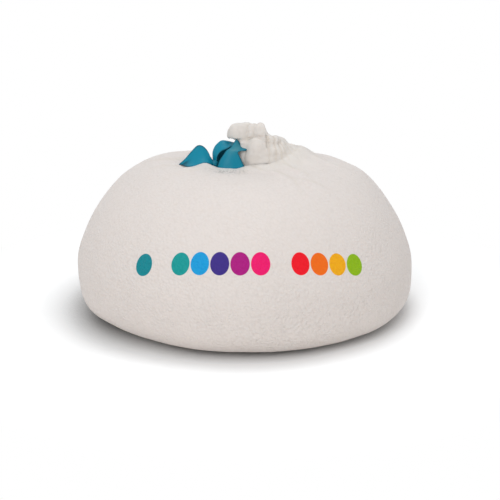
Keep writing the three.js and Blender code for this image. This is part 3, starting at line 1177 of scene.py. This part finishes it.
@dataclass
class Drawtape:
    """The teal tape: a fin-shaped loop, a knot, an arched band and a flap into the gather."""

    origin: tuple = (-50 * MM, -23 * MM, 255.4 * MM)
    thickness: float = 0.4 * MM
    steps: int = 48
    cross_steps: int = 16
    # Pleats near the knot: depth, waves across, phase, and how far along they reach.
    pleat_depth: float = 1.2 * MM
    pleats: float = 2.5
    pleat_phase: float = 0.6
    pleat_reach: float = 0.09
    # Dark edges and painted shade: half width along both edges, depth and reach of the painted
    # shade at the knot, and where a tucked strip is painted dark as shade, across and along.
    rim_half_width: float = 0.055
    knot_shade_depth: float = 0.8
    knot_reach: float = 0.08
    tuck_edge: tuple = (0.40, 0.58)
    tuck_end: tuple = (0.68, 0.84)
    # Painted sheen: its middle and its half width, across and along.
    sheen_middle: tuple = (0.45, 0.62)
    sheen_half_width: tuple = (0.40, 0.20)
    # The knot: size along three axes and height of its middle, in millimetres, its creases
    # as a share of its size, its painted shade, and its rings and columns.
    knot_size: tuple = (6.0, 6.5, 5.5)
    knot_rise: float = 4.0
    knot_crease: float = 0.16
    knot_shade: float = 0.55
    knot_grid: tuple = (14, 24)

    def guide(self, *places: tuple) -> np.ndarray:
        """Draw a smooth curve through places in millimetres from the knot's foot."""
        points = np.array(self.origin) + MM * np.array(places, float)
        return smooth_curve(np.linspace(0, 1, len(points)), points, np.linspace(0, 1, self.steps + 1))

    def strip(
        self, *guides: np.ndarray, belly: float = 0.0, tuck_shade: float = 0.0, pale: float = 0.0,
        least_shade: float = 0.0,
    ) -> Strand:
        """Loft a strip through guide curves, swell it across and pleat it near the knot.

        The swell is a parabola across. The pleats are a sine wave across that fades along.

        Args:
            guides: Curves of equal length that run along the strip.
            belly: How far the middle of the strip stands out along its normal.
            tuck_shade: How dark the painted shade is along the first edge, in its own fold at the far
                end.
            pale: How strong the painted sheen is in the middle, past half way along.
            least_shade: Least painted shade over the whole strip.

        Returns:
            The strip.
        """
        across = np.linspace(0.0, 1.0, self.cross_steps + 1)
        grid = smooth_curve(np.linspace(0, 1, len(guides)), np.array(guides), across)
        normal = np.cross(np.gradient(grid, axis=1), np.gradient(grid, axis=0))
        normal /= np.maximum(np.linalg.norm(normal, axis=-1, keepdims=True), TINY)
        along = np.linspace(0.0, 1.0, self.steps + 1)
        swell = belly * (4.0 * across * (1.0 - across))[:, None]
        waves = np.sin(self.pleats * TAU * across + self.pleat_phase)[:, None]
        pleats = self.pleat_depth * waves * np.exp(-along / self.pleat_reach)
        grid = grid + normal * (swell + pleats)[..., None]
        line = self.steps + 1
        low = (line * np.arange(self.cross_steps)[:, None] + np.arange(self.steps)).ravel()
        quads = np.stack([low, low + 1, low + line + 1, low + line], axis=-1)
        dark_edge_and_shade = bell(np.minimum(across, 1.0 - across), self.rim_half_width)[:, None] + 0.0 * along
        # Painted shade near the knot and in the tucked fold at the far end.
        near_knot_shade = self.knot_shade_depth * np.exp(-along / self.knot_reach)
        hidden = 1.0 - smooth_step(*self.tuck_edge, across)
        tucked_shade = tuck_shade * hidden[:, None] * smooth_step(*self.tuck_end, along)
        dark_edge_and_shade = np.maximum(np.maximum(dark_edge_and_shade, least_shade), np.maximum(near_knot_shade, tucked_shade))
        # Painted sheen: paler film in the middle of the strip, past half way along.
        sheen_across, sheen_along = (
            bell(place - middle, half_width)
            for place, middle, half_width in zip((across, along), self.sheen_middle, self.sheen_half_width)
        )
        painted_sheen = pale * sheen_across[:, None] * sheen_along
        return Strand(grid.reshape(-1, 3), quads, dark_edge_and_shade.ravel(), painted_sheen.ravel())

    def strands(self) -> list:
        """Draw the strips of the tape between the given guides.

        Returns:
            The strips, each from the knot outwards.
        """
        fin_foot = self.guide(
            (3, -3, 0), (-4, -5, 3), (-10, -7, 6), (-18.6, -10, 7), (-27, -12, 4), (-35.5, -14, 1),
            (-47, -14, 2), (-55, -11, 4.5), (-60, -7, 5),
        )
        fin_crest = self.guide(
            (2, 3, 6), (-6, 5, 11), (-10, 7.5, 20), (-15, 10, 27.5), (-21.5, 12, 32.6),
            (-27.5, 12, 33.8), (-33, 10.5, 31.2), (-42, 4, 22.5), (-51, -2, 13), (-61, -6, 4.5),
        )
        fin_back = self.guide(
            (2, 6, 4), (-5, 12, 8), (-10, 16, 12), (-18, 20, 16), (-26, 21, 18), (-34, 17, 15),
            (-43, 9, 11), (-52, 1, 6), (-61, -5.5, 3.5),
        )
        fin_heel = self.guide(
            (2, 6, 1), (-5, 14, 0), (-11, 20, -1), (-19, 26, -1), (-27, 26, -2), (-35, 20, -2),
            (-43, 4, -2), (-52, -9, -1), (-61, -8, 1.0),
        )
        band_front = self.guide(
            (2, -2, 3), (3, -1, 8), (4.4, 1, 16.4), (7.6, 3, 21.5), (13, 5, 25.5), (20, 6, 28),
            (26, 9, 31), (33, 13, 34), (44, 18, 33), (54, 22, 31),
        )
        band_rise = self.guide(
            (1, 1, 5), (-1.5, 5, 9), (-1.5, 9, 17), (1.5, 12, 25), (7, 15, 31), (15, 17, 34),
            (23, 19, 34), (32, 21, 34), (43, 22, 33), (54, 24, 32),
        )
        band_top = self.guide(
            (1, 6, 5), (-3.5, 15, 12), (-4.5, 19, 19), (-1, 23, 27.5), (5, 27, 33), (11.5, 29, 36.8),
            (22, 31, 35.5), (34, 31, 32.5), (44, 29, 32), (52, 27, 32),
        )
        band_back = self.guide(
            (0, 8, 1), (-3, 20, 0), (-2, 28, -2), (3, 33, -4), (10, 36, -4), (18, 37, -4),
            (27, 37, -2), (36, 35, 4), (44, 32, 14), (50, 28, 24),
        )
        flap_left = self.guide(
            (1, -7, 0), (4.4, -9, 1.6), (7.8, -7, 10.7), (13.7, -4, 19.2), (19.7, -1, 27),
            (27, 2, 32), (35.8, 8, 44), (40, 14, 41), (45, 22, 39),
        )
        flap_middle = self.guide(
            (22, -16, -3), (23, -15, 1), (24, -12, 11), (26, -8, 20), (29.5, -5, 26),
            (36, -1, 29), (43, 6, 33), (47, 14, 34), (51, 22, 34),
        )
        flap_right = self.guide(
            (52, -15, -2), (50.5, -13, 2), (46.9, -10, 9.3), (42.7, -7, 17.6), (39.8, -5, 24.3),
            (45, -5, 27.2), (52.5, -4, 27.6), (56, 4, 29), (58, 14, 29),
        )
        return [
            # Painted shade in the fin's tucked fold at its tip.
            self.strip(fin_foot, fin_crest, belly=2.5 * MM, tuck_shade=1.0),
            self.strip(fin_crest, fin_back, fin_heel),
            # The flap has a painted sheen near its top and painted shade over all of it.
            self.strip(flap_left, flap_middle, flap_right, pale=1.0, least_shade=0.15),
            self.strip(band_front, band_rise, band_top, band_back),
        ]

    def knot_lump(self) -> Strand:
        """Draw the knot as a squat ball, creased by waves round it.

        Returns:
            The ball, with one even painted shade.
        """
        rows, columns = self.knot_grid
        lift = (math.pi * (np.arange(rows + 1) / rows - 0.5))[:, None]
        turn = (TAU * np.arange(columns) / columns)[None, :]
        size = 1.0 + self.knot_crease * np.sin(3 * turn + 4 * lift) * np.cos(lift)
        unit = [np.cos(lift) * np.cos(turn), np.cos(lift) * np.sin(turn), np.sin(lift) + 0.0 * turn]
        ball = np.array(self.knot_size) * size[..., None] * np.stack(unit, axis=-1)
        ball[..., 2] += self.knot_rise
        place = np.array(self.origin) + MM * ball.reshape(-1, 3)
        # Painted shade over the whole knot.
        even_knot_shade = np.full(size.size, self.knot_shade)
        return Strand(place, ring_quads(rows, columns), even_knot_shade, np.zeros(size.size))

    def build(self) -> bpy.types.Object:
        """Join the strands into one piece and give it the tape's thickness.

        Returns:
            The drawtape.
        """
        strands = [*self.strands(), self.knot_lump()]
        starts = np.cumsum([0] + [len(strand.vertices) for strand in strands])
        vertices = np.concatenate([strand.vertices for strand in strands])
        faces = np.concatenate([strand.quads + start for strand, start in zip(strands, starts)])
        tape = new_object("teal_drawtape", vertices, faces)
        # Dark edges and painted shade.
        add_attribute(tape, "dark_edge_and_shade", np.concatenate([strand.dark_edge_and_shade for strand in strands]))
        # Painted sheen.
        add_attribute(tape, "painted_sheen", np.concatenate([strand.painted_sheen for strand in strands]))
        wall = tape.modifiers.new("wall", "SOLIDIFY")
        wall.thickness = self.thickness
        wall.offset = 0.0
        tape.data.materials.append(TapeFinish().make())
        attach(tape, BODY)
        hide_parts("drawtape")
        return tape


@dataclass(frozen=True)
class Lamp:
    """A square area lamp that faces the bag."""

    name: str
    place: tuple  # metres
    size: float  # side of the square
    power: float  # watts


@dataclass
class Studio:
    """White floor, soft light and the camera."""

    bag: FilmBag
    elevation: float = math.radians(16.8)
    distance: float = 6.5  # in the bag's radii, as aim_height
    aim_height: float = 0.4
    focal_pixels: float = 1080.3
    image_size: int = 500
    aim_pixel: tuple = (244.3, 239.2)
    sensor: float = 36.0
    far_end: float = 100.0
    sky_strength: float = 0.56
    floor_half: float = 20.0
    lamp_aim: tuple = (0.0, 0.0, 0.12)
    lamps: tuple = (
        Lamp("top", (0.1, 0.2, 2.2), 0.9, 8.0),
        Lamp("front", (-1.05, -2.6, 1.8), 1.4, 26.8),
        Lamp("right", (2.2, -1.7, 1.1), 1.4, 6.0),
    )

    def floor(self) -> bpy.types.Object:
        """Lay the floor as one wide flat square.

        Returns:
            The floor.
        """
        square = np.array([[-1, -1, 0], [1, -1, 0], [1, 1, 0], [-1, 1, 0]])
        floor = new_object("floor", self.floor_half * square, np.array([[0, 1, 2, 3]]))
        floor.data.materials.append(FloorFinish().make())
        return floor

    def hang(self, lamp: Lamp) -> bpy.types.Object:
        """Hang a lamp and turn it towards the bag.

        Args:
            lamp: The lamp's name, place, size and power.

        Returns:
            Its object.
        """
        light = bpy.data.lights.new(lamp.name, "AREA")
        light.size = lamp.size
        light.energy = lamp.power
        hung = bpy.data.objects.new(lamp.name, light)
        hung.location = lamp.place
        aim = Vector(self.lamp_aim) - Vector(lamp.place)
        hung.rotation_euler = aim.to_track_quat("-Z", "Y").to_euler()
        bpy.context.scene.collection.objects.link(hung)
        return hung

    def sky(self) -> None:
        """Light the scene with an even white sky, and show a white background."""
        world = bpy.data.worlds.new("sky")
        bpy.context.scene.world = world
        graph = NodeGraph(world)
        lit, shown = (
            graph.add("ShaderNodeBackground", {"Color": (1.0, 1.0, 1.0), "Strength": strength})
            for strength in (self.sky_strength, 1.0)
        )
        operands = {0: graph.background_rays(), 1: lit.outputs[0], 2: shown.outputs[0]}
        both = graph.add("ShaderNodeMixShader", operands)
        graph.add("ShaderNodeOutputWorld", {"Surface": both.outputs[0]})

    def camera(self) -> bpy.types.Object:
        """Stand the camera in front of the bag, a little above it.

        The camera looks along the ray of the image's middle, worked out from the pixel where
        the aim point is seen.

        Returns:
            The camera.
        """
        back = Vector((0.0, -math.cos(self.elevation), math.sin(self.elevation)))
        up = Vector((0.0, math.sin(self.elevation), math.cos(self.elevation)))
        aim = Vector((0.0, 0.0, self.aim_height * self.bag.radius))
        place = aim + back * (self.distance * self.bag.radius)
        middle = 0.5 * self.image_size
        across = (middle - self.aim_pixel[0]) / self.focal_pixels
        down = (middle - self.aim_pixel[1]) / self.focal_pixels
        gaze = -back + Vector((1.0, 0.0, 0.0)) * across - up * down
        data = bpy.data.cameras.new("camera")
        data.sensor_width = self.sensor
        data.lens = self.focal_pixels / self.image_size * self.sensor
        data.clip_end = self.far_end
        camera = bpy.data.objects.new("camera", data)
        camera.location = place
        camera.rotation_euler = gaze.to_track_quat("-Z", "Y").to_euler()
        bpy.context.scene.collection.objects.link(camera)
        bpy.context.scene.camera = camera
        return camera

    def build(self) -> None:
        """Set the view transform and place the floor, the lamps, the sky and the camera."""
        bpy.context.scene.view_settings.view_transform = "Standard"
        self.floor()
        self.sky()
        for lamp in self.lamps:
            self.hang(lamp)
        self.camera()


def main() -> None:
    """Build the bag, its tape and the studio, and report each piece."""
    logging.basicConfig(level=logging.INFO, format="%(name)s: %(message)s")
    bag = FilmBag()
    tape = Drawtape()
    Studio(bag).build()
    for piece in (bag.build(), tape.build()):
        LOG.info("%s: %d faces", piece.name, len(piece.data.polygons))


if __name__ == "__main__":
    main()
